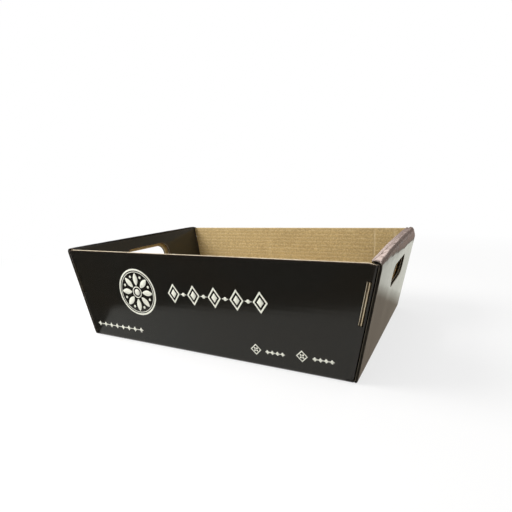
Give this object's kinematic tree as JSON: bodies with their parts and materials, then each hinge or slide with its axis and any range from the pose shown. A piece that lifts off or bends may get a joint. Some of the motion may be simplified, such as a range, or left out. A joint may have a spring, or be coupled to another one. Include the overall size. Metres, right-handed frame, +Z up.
{
  "type": "corrugated hamper tray",
  "caption": "Open-topped corrugated hamper tray folded from one blank, with leaning walls, roll-over ends, lock tabs and hand holes.",
  "frame": {"origin": "middle of the base's underside, on the table", "axes": "+X along the long side, +Y from the front long wall to the back one, +Z up"},
  "size_m": [0.426, 0.284, 0.1266],
  "materials": {
    "printed_board": "black print under gloss varnish",
    "bare_kraft": "uncoated brown kraft liner"
  },
  "bodies": {
    "root": {"tray": "printed_board"}
  },
  "joints": []
}
